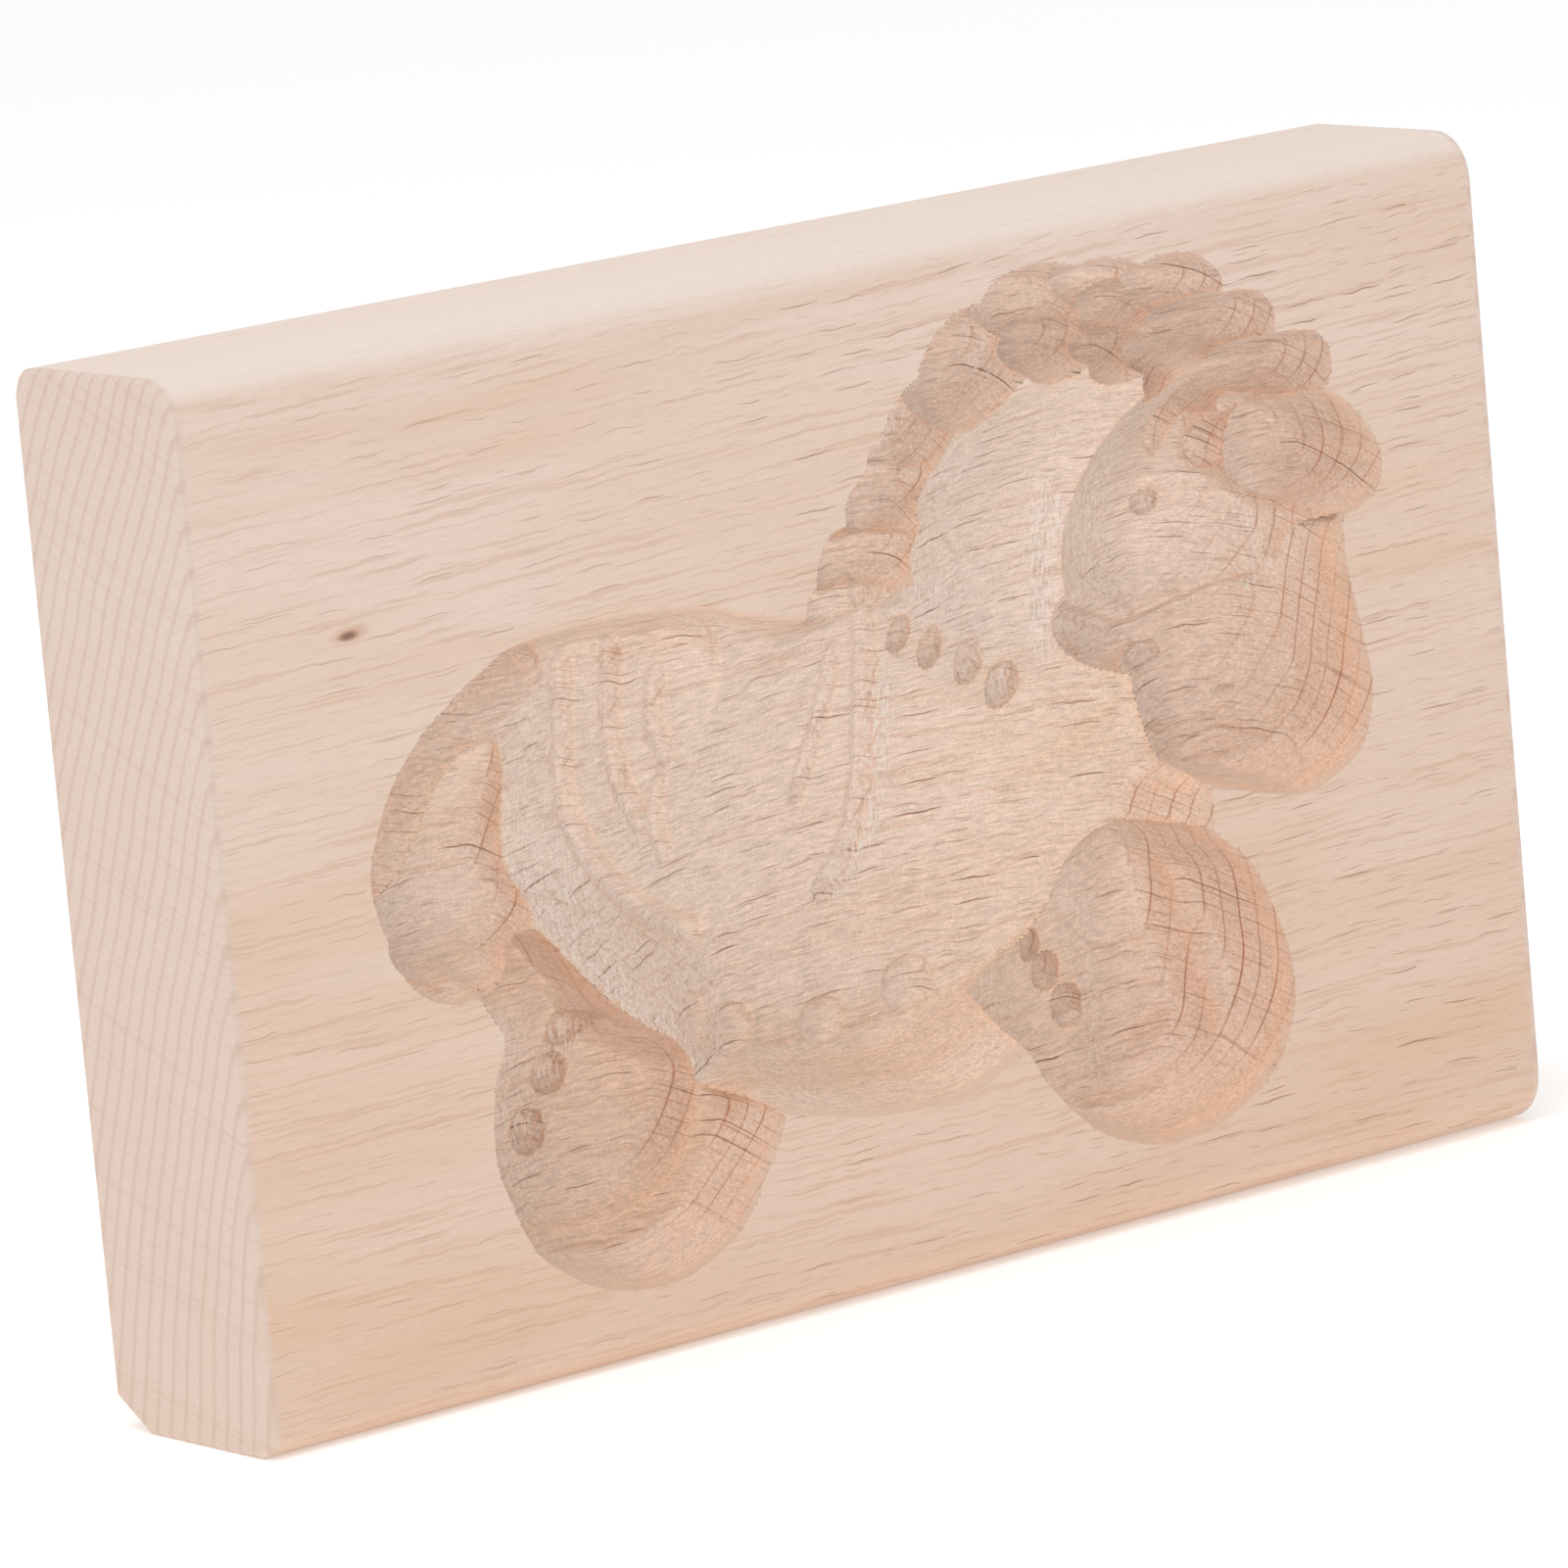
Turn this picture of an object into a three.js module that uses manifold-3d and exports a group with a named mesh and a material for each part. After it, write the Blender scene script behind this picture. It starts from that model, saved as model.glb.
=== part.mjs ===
// A carved wooden cookie stamp: one solid beech board with a hollow horse in its face.
// Millimetres, +Z up. The board stands on its long lower edge, its carved face looks to -Y,
// and the origin is the middle of the box's underside.

import * as THREE from 'three';
import { mergeVertices } from 'three/addons/utils/BufferGeometryUtils.js';
import Module from 'manifold-3d';

// The board.
const boardLength = 150;
const boardHeight = 95;
const boardThickness = 23.5;

// Its long edges are softened by a different amount each, and its sawn ends hardly at all.
const topFrontRadius = 4.2;
const topBackRadius = 2.6;
const bottomFrontRadius = 2.6;
const bottomBackChamfer = { deep: 4.5, high: 2.8 };
const edgeSegments = 6;
const endEasing = 0.4;

// The carving. Outlines are drawn from the board's middle along X and from drawingBase along Z,
// so the figure keeps its place in the middle of the face when the board grows.
const drawingHeight = 95;
const drawingBase = (boardHeight - drawingHeight) / 2;
const faceY = -boardThickness / 2;
const cutterOverhang = 1;
const footFillet = 1.1;
const pointsPerSpan = 2;
const floorRings = [0.66, 0.33];

// Each bowl is one hollow: an outline on the face, steep walls at wallAngle from the face down
// to rimDepth, and a floor that swells to centreDepth under the centre. Where bowls meet, the
// deeper one wins, which leaves the crisp ridges between the horse's parts.
const bowls = {
  barrel: {
    centre: [-4, 44], centreDepth: 10.2, rimDepth: 8.2, wallAngle: 76,
    outline: [
      [-44.3, 64.8], [-34.7, 66.9], [-25.6, 66.7], [-16.5, 65], [-7.9, 63.2], [4, 64],
      [16, 62], [26, 60], [32, 54], [35.5, 47], [37.5, 39], [36.3, 35], [31, 29], [22, 23],
      [12.5, 19.2], [5, 16.5], [-5.6, 16.8], [-15.9, 18.9], [-21, 24], [-29, 32],
      [-36, 40], [-41, 46], [-41.5, 55],
    ],
  },
  tailOuterStrand: {
    centre: [-51, 52], centreDepth: 6.6, rimDepth: 6.2, wallAngle: 80,
    outline: [
      [-49.7, 36.1], [-51.1, 36.1], [-55, 38], [-57.5, 42.7], [-58.8, 47.3], [-58.4, 50.5],
      [-56.1, 55.5], [-52.9, 59.3], [-48.8, 62.3], [-44.3, 64.8], [-41, 63], [-43, 57],
      [-46, 50], [-47, 43], [-47, 37.5],
    ],
  },
  tailInnerStrand: {
    centre: [-46, 48], centreDepth: 8.6, rimDepth: 7.2, wallAngle: 74,
    outline: [
      [-54, 50], [-54.5, 43], [-52, 38.5], [-47.5, 37.2], [-44.6, 39.8], [-40.5, 42],
      [-39.5, 47], [-39.5, 53], [-38.5, 60], [-41, 62], [-47, 59], [-51.5, 55],
    ],
  },
  hindLeg: {
    centre: [-33, 21], centreDepth: 8.2, rimDepth: 7.4, wallAngle: 83,
    outline: [
      [-49.7, 36.1], [-46.1, 31.6], [-47.5, 28.2], [-48.2, 22], [-47, 17.3], [-44.9, 12.7],
      [-42, 10], [-38.5, 7.9], [-34.7, 6.9], [-31.2, 6.5], [-28.2, 6.8], [-25.1, 7.9],
      [-22, 9.6], [-19.9, 12.1], [-15.8, 18.8], [-19, 24], [-26, 31], [-34, 39],
      [-38, 41], [-43, 40],
    ],
  },
  hindLegInside: {
    centre: [-33, 23], centreDepth: 11.2, rimDepth: 8.6, wallAngle: 70,
    outline: [
      [-46.5, 26], [-46, 20], [-43, 15], [-38, 12.3], [-32, 11.6], [-26.5, 12.2],
      [-22.8, 14.8], [-20.3, 18.5], [-19.6, 22.5], [-22, 27], [-28, 33], [-33, 37.5],
      [-40, 37], [-45, 32],
    ],
  },
  foreLeg: {
    centre: [28, 21], centreDepth: 8.6, rimDepth: 8, wallAngle: 80,
    outline: [
      [6.3, 25.5], [8.5, 21.7], [12.7, 19], [15.8, 14.4], [20.8, 9.8], [26.9, 7.5],
      [30.8, 7.3], [34.6, 7.8], [38.5, 9.4], [41.5, 11.3], [43.8, 14], [45, 17.1],
      [45.2, 20.2], [44.6, 23.6], [43.1, 27.5], [41.2, 31.3], [38.8, 33.6], [36.5, 35.3],
      [33, 38], [28, 38.5], [23, 34], [18, 29.8], [11, 27.6],
    ],
  },
  foreLegInside: {
    centre: [31, 22], centreDepth: 12, rimDepth: 9.4, wallAngle: 62,
    outline: [
      [20, 26], [20.5, 19], [24, 14.5], [30, 12.3], [36, 14], [40, 18.5], [41, 24],
      [39.8, 30], [37, 35], [33, 38], [28, 37], [23, 32],
    ],
  },
  neck: {
    centre: [15, 64], centreDepth: 9.8, rimDepth: 8.4, wallAngle: 72,
    outline: [
      [1, 60], [5, 66], [9, 72], [14, 77], [22, 79.5], [30, 79], [31.5, 72], [29, 66],
      [28, 58], [26, 50], [16, 48], [6, 51], [0, 55],
    ],
  },
  cheek: {
    centre: [40, 64], centreDepth: 11.2, rimDepth: 8.6, wallAngle: 70,
    outline: [
      [31.6, 77], [29.7, 72.4], [27.9, 67.8], [27, 63], [25.5, 58], [28, 55.5], [34, 53],
      [41, 54], [48, 53], [55, 53], [55.6, 58], [55, 62], [51.5, 66], [46.5, 69],
      [43, 73], [38, 78],
    ],
  },
  muzzle: {
    centre: [46, 48], centreDepth: 11.6, rimDepth: 9.8, wallAngle: 82,
    outline: [
      [55.6, 62], [55.2, 60.6], [55.5, 57.5], [56.4, 53.4], [57, 50.2], [57.7, 46.5],
      [57.3, 42.9], [56.1, 40.2], [54.3, 38.6], [49.5, 36.8], [45, 37.2], [40.5, 38.4],
      [37.3, 39.3], [35, 43], [33.4, 47], [31, 50], [26, 53], [24.5, 57], [30, 57.5],
      [37, 56], [44, 57.5], [50, 59],
    ],
  },
  forelockTip: {
    centre: [54.5, 68], centreDepth: 8.6, rimDepth: 7.4, wallAngle: 78,
    outline: [
      [56.1, 61.8], [58.5, 62.5], [60.5, 64], [61, 66.5], [60, 69], [58, 71.5],
      [55.6, 73.5], [51, 74], [48, 71], [48.5, 66.5], [52, 63],
    ],
  },
  forelockCurl: {
    centre: [52, 68], centreDepth: 9.4, rimDepth: 7.6, wallAngle: 65,
    outline: [
      [55.5, 68.5], [54, 71.5], [50.5, 71.6], [48.3, 69], [49, 65.5], [52, 64], [54.6, 65.4],
    ],
  },
  forelockMiddle: {
    centre: [48.5, 77], centreDepth: 7.4, rimDepth: 6.6, wallAngle: 72,
    outline: [
      [55.6, 73.5], [55.5, 75.5], [54, 78], [52, 79.5], [49.7, 80], [45, 79.6], [42, 78.3],
      [42, 75.5], [46, 75], [50, 74.4],
    ],
  },
  forelockMiddleEnd: {
    centre: [41.4, 75.2], centreDepth: 7.4, rimDepth: 6.4, wallAngle: 68,
    outline: [
      [45, 79.4], [41, 78.6], [38.3, 75.6], [38.6, 72], [41.4, 71.3], [43.4, 73.6], [46, 76.4],
    ],
  },
  forelockInner: {
    centre: [47.5, 73], centreDepth: 8.2, rimDepth: 6.8, wallAngle: 66,
    outline: [
      [54, 73.5], [50, 75.6], [46, 75.4], [43.2, 73], [42.6, 70.3], [44.6, 68.9],
      [47.2, 70.8], [50, 71.6],
    ],
  },
  forelockUpper: {
    centre: [42, 81.6], centreDepth: 7.2, rimDepth: 6.2, wallAngle: 74,
    outline: [
      [49.7, 80], [49, 82], [47, 83.8], [44, 84.3], [40, 84], [36.5, 83], [34.8, 80],
      [36, 77.4], [39, 77.6], [41, 79.2], [45, 80],
    ],
  },
  maneLock1: {
    centre: [38, 86], centreDepth: 6, rimDepth: 5, wallAngle: 74,
    outline: [
      [42.8, 85.2], [41, 87.5], [39, 88.7], [36, 88.5], [33.5, 88], [32, 85.5], [35, 83.6],
      [40, 83.5],
    ],
  },
  maneLock2: {
    centre: [30, 83.4], centreDepth: 7.6, rimDepth: 6.2, wallAngle: 70,
    outline: [[34, 83], [33, 86.5], [29, 88], [26.6, 86], [26.5, 82], [28, 79], [32, 78.6]],
  },
  maneLock2Behind: {
    centre: [28.5, 87.3], centreDepth: 5.4, rimDepth: 4.6, wallAngle: 74,
    outline: [
      [33.5, 88], [31, 89], [27, 89.7], [24, 88.7], [23, 86], [27, 84.6], [32, 85.4],
    ],
  },
  maneLock3: {
    centre: [21, 84.5], centreDepth: 7, rimDepth: 6, wallAngle: 74,
    outline: [
      [24, 88.7], [22, 89.5], [19, 90], [16, 89], [15, 87.5], [16, 83], [18, 79.6],
      [24, 79], [27.5, 82], [26.5, 86],
    ],
  },
  maneLock4: {
    centre: [12.8, 82.6], centreDepth: 6.8, rimDepth: 5.8, wallAngle: 74,
    outline: [
      [15, 87.5], [12, 87.4], [9, 86.5], [7, 84], [6.5, 82.5], [9, 79], [13, 77],
      [18, 79], [19.4, 83], [18, 86.4],
    ],
  },
  maneLock5: {
    centre: [6.2, 78], centreDepth: 6.4, rimDepth: 5.4, wallAngle: 74,
    outline: [
      [6.5, 82.5], [5, 82], [3, 80.5], [1, 77], [1.5, 74], [6, 73], [10.5, 76], [11.5, 79],
    ],
  },
  maneLock6: {
    centre: [2.4, 72.2], centreDepth: 6.2, rimDepth: 5.2, wallAngle: 74,
    outline: [
      [1, 77], [-0.5, 74.8], [-2.5, 73], [-3, 70.5], [-1.5, 68.5], [3, 67.6], [7.2, 70.5],
      [7, 74.5],
    ],
  },
  maneLock7: {
    centre: [-1.6, 67], centreDepth: 5.8, rimDepth: 4.8, wallAngle: 74,
    outline: [
      [-3, 70.5], [-5.8, 69], [-7, 65.5], [-5.5, 63.6], [-1, 63], [3.4, 65.5], [3, 69],
    ],
  },
  maneLock8: {
    centre: [-3.4, 62.8], centreDepth: 5.8, rimDepth: 5, wallAngle: 74,
    outline: [[-7, 65.5], [-8.2, 63.2], [-6, 60.5], [-2, 59.6], [1.4, 62], [0, 65]],
  },
};

// Small round pits sunk into the floors: three down each leg, and a row like beads on the neck.
const pitDepth = 1.9;
const pitSides = 12;
const pitRings = [0.8, 0.45];
const pits = [
  { centre: [-29.4, 29.6], floor: 9.2, radius: [2.6, 1.8] },
  { centre: [-34.4, 26.2], floor: 11, radius: [2.2, 2.2] },
  { centre: [-37.6, 21.8], floor: 10.9, radius: [2.2, 2.2] },
  { centre: [20.6, 26.2], floor: 8.3, radius: [1.4, 1.6] },
  { centre: [23.4, 24], floor: 10.6, radius: [1.8, 1.8] },
  { centre: [25.2, 20.2], floor: 11.4, radius: [2.1, 2.1] },
  { centre: [10, 57.9], floor: 9.7, radius: [1.6, 1.9] },
  { centre: [13.4, 55.9], floor: 9.8, radius: [1.9, 1.9] },
  { centre: [16.8, 53.3], floor: 9.9, radius: [1.9, 1.9] },
  { centre: [22, 51.2], floor: 9.9, radius: [2.6, 2.1] },
];

const beech = new THREE.MeshStandardMaterial({ color: 0xe3c6ac, roughness: 0.75, metalness: 0 });

// A quarter arc of the board's end profile, from one angle to another.
function arcPoints(centreY, centreZ, radius, fromAngle, toAngle) {
  const points = [];
  for (let i = 0; i <= edgeSegments; i += 1) {
    const angle = fromAngle + ((toAngle - fromAngle) * i) / edgeSegments;
    points.push(
      new THREE.Vector2(centreY + radius * Math.cos(angle), centreZ + radius * Math.sin(angle)),
    );
  }
  return points;
}

// The board is its end profile drawn out along X. Profile x is depth (Y), profile y is height (Z).
function boardGeometry() {
  const front = faceY;
  const back = -faceY;
  const profile = [
    ...arcPoints(front + bottomFrontRadius, bottomFrontRadius, bottomFrontRadius,
      Math.PI, 1.5 * Math.PI),
    new THREE.Vector2(back - bottomBackChamfer.deep, 0),
    new THREE.Vector2(back, bottomBackChamfer.high),
    ...arcPoints(back - topBackRadius, boardHeight - topBackRadius, topBackRadius,
      0, 0.5 * Math.PI),
    ...arcPoints(front + topFrontRadius, boardHeight - topFrontRadius, topFrontRadius,
      0.5 * Math.PI, Math.PI),
  ];
  const geometry = new THREE.ExtrudeGeometry(new THREE.Shape(profile), {
    depth: boardLength - 2 * endEasing,
    bevelEnabled: true,
    bevelThickness: endEasing,
    bevelSize: endEasing,
    bevelOffset: -endEasing,
    bevelSegments: 1,
  });
  geometry.translate(0, 0, -boardLength / 2 + endEasing);
  // Shape x, y and the drawing direction become Y, Z and X.
  const axes = new THREE.Matrix4().makeBasis(
    new THREE.Vector3(0, 1, 0),
    new THREE.Vector3(0, 0, 1),
    new THREE.Vector3(1, 0, 0),
  );
  return geometry.applyMatrix4(axes);
}

// A closed smooth outline through the drawn points, always running the same way round.
function smoothOutline(drawn) {
  const clockwise = THREE.ShapeUtils.isClockWise(drawn.map(([x, z]) => ({ x, y: z })));
  const points = clockwise ? drawn : [...drawn].reverse();
  const curve = new THREE.CatmullRomCurve3(
    points.map(([x, z]) => new THREE.Vector3(x, 0, z)), true, 'catmullrom', 0.5,
  );
  return curve.getPoints(points.length * pointsPerSpan).slice(0, -1);
}

// Joins rings of points into one closed skin, with a flat cap on the first ring and a point
// that closes the last one. Every ring has as many points as the first.
function closedSkin(rings, capCentre, tip) {
  const count = rings[0].length;
  const vertices = [...rings.flat(), capCentre, tip];
  const cap = rings.length * count;
  const faces = [];
  for (let i = 0; i < count; i += 1) {
    const next = (i + 1) % count;
    faces.push([cap, next, i]);
    for (let ring = 0; ring < rings.length - 1; ring += 1) {
      const here = ring * count;
      const there = here + count;
      faces.push([here + i, here + next, there + i], [here + next, there + next, there + i]);
    }
    const last = (rings.length - 1) * count;
    faces.push([last + i, last + next, cap + 1]);
  }
  const geometry = new THREE.BufferGeometry();
  geometry.setAttribute('position', new THREE.Float32BufferAttribute(vertices.flat(), 3));
  geometry.setIndex(faces.flat());
  return geometry;
}

// The solid that one bowl takes out of the board.
function bowlGeometry({ centre, centreDepth, rimDepth, wallAngle, outline }) {
  const [centreX, centreZ] = centre;
  const points = smoothOutline(outline);
  const slope = Math.tan(THREE.MathUtils.degToRad(wallAngle));
  const place = (x, z, depth) => [x, faceY + depth, z + drawingBase];
  // A ring that lies inset from the outline, measured towards the centre.
  const ring = (inset, share, depth) => points.map((point) => {
    const reach = Math.hypot(point.x - centreX, point.z - centreZ);
    const scale = share * Math.max(1 - inset / reach, 0.05);
    return place(
      centreX + (point.x - centreX) * scale, centreZ + (point.z - centreZ) * scale, depth,
    );
  });
  const floorDepth = (share) => rimDepth + (centreDepth - rimDepth) * (1 - share * share);
  const footInset = rimDepth / slope;
  const rings = [
    ring(0, 1, -cutterOverhang),
    ring(0, 1, 0),
    ring(footInset * (1 - footFillet / rimDepth), 1, rimDepth - footFillet),
    ring(footInset + footFillet * 0.3, 1, rimDepth - footFillet * 0.25),
    ring(footInset + footFillet, 1, rimDepth),
    ...floorRings.map((share) => ring(footInset + footFillet, share, floorDepth(share))),
  ];
  return closedSkin(
    rings, place(centreX, centreZ, -cutterOverhang), place(centreX, centreZ, centreDepth),
  );
}

// A pit is a round-ended drilling, from the face down to below the floor that it is sunk into.
function pitGeometry({ centre, floor, radius }) {
  const [centreX, centreZ] = centre;
  const place = (x, z, depth) => [x, faceY + depth, z + drawingBase];
  const ring = (share, depth) => Array.from({ length: pitSides }, (_, i) => {
    const angle = (-2 * Math.PI * i) / pitSides;
    return place(
      centreX + radius[0] * share * Math.cos(angle),
      centreZ + radius[1] * share * Math.sin(angle),
      depth,
    );
  });
  const rings = [
    ring(1, -cutterOverhang),
    ring(1, floor),
    ...pitRings.map((share) => ring(share, floor + pitDepth * Math.sqrt(1 - share * share))),
  ];
  return closedSkin(
    rings, place(centreX, centreZ, -cutterOverhang), place(centreX, centreZ, floor + pitDepth),
  );
}

const wasm = await Module();
wasm.setup();

// A three.js geometry as a solid that can be joined and cut.
function solidFrom(geometry) {
  const bare = geometry.clone();
  bare.deleteAttribute('normal');
  bare.deleteAttribute('uv');
  const merged = mergeVertices(bare, 1e-4);
  return new wasm.Manifold(new wasm.Mesh({
    numProp: 3,
    vertProperties: new Float32Array(merged.attributes.position.array),
    triVerts: new Uint32Array(merged.index.array),
  }));
}

// And the other way round.
function geometryFrom(solid) {
  const mesh = solid.getMesh();
  const geometry = new THREE.BufferGeometry();
  geometry.setAttribute('position', new THREE.BufferAttribute(mesh.vertProperties, 3));
  geometry.setIndex(new THREE.BufferAttribute(mesh.triVerts, 1));
  geometry.computeVertexNormals();
  return geometry;
}

let board = solidFrom(boardGeometry());
for (const bowl of Object.values(bowls)) {
  board = board.subtract(solidFrom(bowlGeometry(bowl)));
}
for (const pit of pits) {
  board = board.subtract(solidFrom(pitGeometry(pit)));
}

const carvedBoard = new THREE.Mesh(geometryFrom(board), beech);
carvedBoard.name = 'carved_board';

const group = new THREE.Group();
group.add(carvedBoard);

export default group;
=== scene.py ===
# %% [markdown]
# A carved wooden cookie stamp.
#
# The real object is one block of beech. A horse is hollowed into its broad face, so that dough
# pressed into the hollow comes out with the horse raised on it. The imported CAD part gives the
# block and the main hollows; this lesson carves the same block again with the finer cuts of the
# gouge, gives it a beech finish, and lights it softly from above.

import math

import bpy
import numpy as np
from mathutils import Matrix, Vector


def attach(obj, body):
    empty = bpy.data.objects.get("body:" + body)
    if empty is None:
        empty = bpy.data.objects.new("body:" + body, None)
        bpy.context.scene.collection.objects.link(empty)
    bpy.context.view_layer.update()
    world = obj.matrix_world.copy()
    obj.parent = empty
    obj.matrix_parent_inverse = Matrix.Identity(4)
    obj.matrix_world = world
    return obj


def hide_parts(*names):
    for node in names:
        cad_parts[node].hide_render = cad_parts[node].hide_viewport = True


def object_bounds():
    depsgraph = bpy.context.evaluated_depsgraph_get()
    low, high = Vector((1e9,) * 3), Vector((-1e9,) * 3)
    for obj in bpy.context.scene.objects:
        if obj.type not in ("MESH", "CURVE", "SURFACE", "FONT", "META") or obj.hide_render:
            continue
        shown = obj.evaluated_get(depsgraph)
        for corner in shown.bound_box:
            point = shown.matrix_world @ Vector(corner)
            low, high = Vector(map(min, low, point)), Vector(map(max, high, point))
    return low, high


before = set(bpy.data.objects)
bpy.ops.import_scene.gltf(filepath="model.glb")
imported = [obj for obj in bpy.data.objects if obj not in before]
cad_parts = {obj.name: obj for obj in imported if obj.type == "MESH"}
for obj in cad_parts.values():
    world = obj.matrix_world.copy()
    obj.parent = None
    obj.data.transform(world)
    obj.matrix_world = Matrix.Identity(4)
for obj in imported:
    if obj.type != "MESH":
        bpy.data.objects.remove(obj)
cad_low, cad_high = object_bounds()
MM = 0.001
FACE_Y = cad_low.y / MM
LENGTH, THICKNESS, HEIGHT = (cad_high - cad_low) / MM
print("CAD box, mm:", [round(v / MM, 2) for v in (*cad_low, *cad_high)])

# %% [markdown]
# The camera comes first, because every likeness is judged through it.
#
# The photograph was taken from the left and a little above, with a long lens. The camera's place
# and turn were found by fitting the board's corners, and its lens from how little the far end
# shrinks.

# %% Camera
LENS = 243.25
CAMERA_PLACE = Vector((-583.425, -748.906, 217.563)) * MM
CAMERA_RIGHT = Vector((0.7777597, -0.6223588, -0.0880872))
CAMERA_UP = Vector((0.1794453, 0.0855393, 0.9800421))

camera_data = bpy.data.cameras.new("camera")
camera_data.lens = LENS
camera_data.sensor_width = 36
camera_data.clip_start = 0.05
camera_data.clip_end = 50
camera = bpy.data.objects.new("camera", camera_data)
turn = Matrix((CAMERA_RIGHT, CAMERA_UP, CAMERA_RIGHT.cross(CAMERA_UP))).transposed()
camera.matrix_world = Matrix.Translation(CAMERA_PLACE) @ turn.to_4x4()
bpy.context.collection.objects.link(camera)
bpy.context.scene.camera = camera
print("camera at", tuple(round(v, 3) for v in camera.location))

# %% [markdown]
# Beech, planed and sanded, without oil.
#
# The block is cut so that its growth rings lean gently behind the face. Rings and rays are
# surfaces in the wood, so they are worked out from the place inside the block, and every cut
# through them shows the right lines: dashes on the face, a fine lattice on the end grain, and
# loops on the floors. A picture of wood wrapped round the block couldn't do that. Without oil it
# has hardly any shine, so the eye sees its lines and its pale, warm colour.

# %% Helpers for materials
def to_linear(hex_colour):
    """An sRGB hex colour as linear RGBA."""
    levels = [int(hex_colour[i:i + 2], 16) / 255 for i in (1, 3, 5)]
    return (*(v / 12.92 if v <= 0.04045 else ((v + 0.055) / 1.055) ** 2.4 for v in levels), 1)


def add(tree, kind, inputs=None, **settings):
    """Adds a node, sets what is plain and links what comes from another node."""
    node = tree.nodes.new(kind)
    for name, value in settings.items():
        setattr(node, name, value)
    for key, value in (inputs or {}).items():
        socket = node.inputs[key]
        if isinstance(value, bpy.types.NodeSocket):
            tree.links.new(value, socket)
        else:
            socket.default_value = value
    return node


def maths(tree, operation, *values, clamp=False):
    node = add(tree, "ShaderNodeMath", dict(enumerate(values)), operation=operation,
               use_clamp=clamp)
    return node.outputs[0]


# %% The wood's own directions
# Level with the pith, PITH_DROP below the board, the rings run along the face. Above it they lean
# back more and more, towards RING_LEAN, over about LEAN_HEIGHT.
RING_LEAN = 0.6
LEAN_HEIGHT = 50
PITH_DROP = 20
GRAIN_CLIMB = 0.0006


def wood_directions(tree, m):
    """Where a point lies in the wood, and how the surface there cuts it.

    Gives millimetres along the grain, out across the rings and round from ray to ray; how
    squarely the surface cuts the rays; how far it faces right and up; and the depth behind the
    face and the height, in millimetres.
    """
    place = add(tree, "ShaderNodeTexCoord").outputs["Object"]
    mm = add(tree, "ShaderNodeVectorMath", {0: place, 1: (1 / MM,) * 3},
             operation="MULTIPLY").outputs[0]
    along, behind, height = add(tree, "ShaderNodeSeparateXYZ", {0: mm}).outputs
    behind = m("SUBTRACT", behind, FACE_Y)
    grown = m("EXPONENT", m("DIVIDE", m("ADD", height, PITH_DROP), LEAN_HEIGHT))
    lean = m("MULTIPLY", m("ADD", height, m("DIVIDE", LEAN_HEIGHT, grown)), RING_LEAN)
    ring = m("ADD", behind, lean)
    fan = m("MULTIPLY", m("SUBTRACT", grown, 1),
            m("EXPONENT", m("DIVIDE", behind, -LEAN_HEIGHT / RING_LEAN)))
    ray = m("SUBTRACT", m("MULTIPLY", m("LOGARITHM", m("ADD", fan, 1), math.e), LEAN_HEIGHT),
            PITH_DROP)
    # The grain climbs a little to the right, more so near the top.
    ray = m("SUBTRACT", ray, m("MULTIPLY", m("MULTIPLY", along, height), GRAIN_CLIMB))
    # Rays show little where the surface runs along them, as on the top edge.
    normal = add(tree, "ShaderNodeNewGeometry").outputs["Normal"]
    rightward, backward, upward = add(tree, "ShaderNodeSeparateXYZ", {0: normal}).outputs
    tilt = m("MULTIPLY", m("SUBTRACT", 1, m("DIVIDE", 1, grown)), RING_LEAN)
    along_ray = m("DIVIDE", m("SUBTRACT", upward, m("MULTIPLY", tilt, backward)),
                  m("SQRT", m("MULTIPLY_ADD", tilt, tilt, 1)))
    squarely = m("SUBTRACT", 1, m("MULTIPLY", along_ray, along_ray))
    cut = m("DIVIDE", m("SUBTRACT", squarely, 0.12), 0.45, clamp=True)
    return along, ring, ray, cut, rightward, upward, behind, height


# %% What the beech is coloured with
LIGHT_WOOD, WARM_WOOD, LOW_WOOD, TOP_SHEEN = "#ecd5c6", "#e4c4a9", "#dbb18f", "#f0dfd4"
LIT_WOOD, RIGHT_FACING_LIGHT, STREAK = "#ffeadc", "#ecdccf", "#cfa07c"
SANDED_END, SOFT_LINE, RING_LINE, RAY_LINE = "#e3d0c4", "#c0947a", "#ad6539", "#b07a58"
LONG_RAY, SHORT_RAY = "#86543a", "#9a6a4a"
CREST_TONE_AND_GLOW, PIT_SHADE = "#f0c4a2", "#b58a68"
KNOT_RIM, KNOT, TORN_PATCH = "#c58f6c", "#7f5040", "#d9a27c"
TUFT_HIGHLIGHT, TUFT_SHADOW = "#f6ebe2", "#a17860"

# %% The sizes of its grain, in millimetres
RING_SPACING = 2.0
RAY_SPACING = 1.5
LINE_HALF_WIDTH, SOFT_HALF_WIDTH = 0.16, 0.5
# Ribbons of ray on the face: how far apart along and across, and half their length and width.
LONG_RAYS = dict(apart=(6.0, 1.7), half=(3.2, 0.1), empty=0.2, seed=0.0)
SHORT_RAYS = dict(apart=(3.2, 0.8), half=(1.3, 0.07), empty=0.4, seed=31.7)
# Real torn fibres are far thinner. They stand here in tufts, as coarse as they need to show.
TUFT_SIZE = (0.24, 0.5, 1.1)
GRIT_SIZE = (0.3, 0.3, 0.35)
DEEP_FROM, DEEP_OVER = 9, 5
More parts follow.
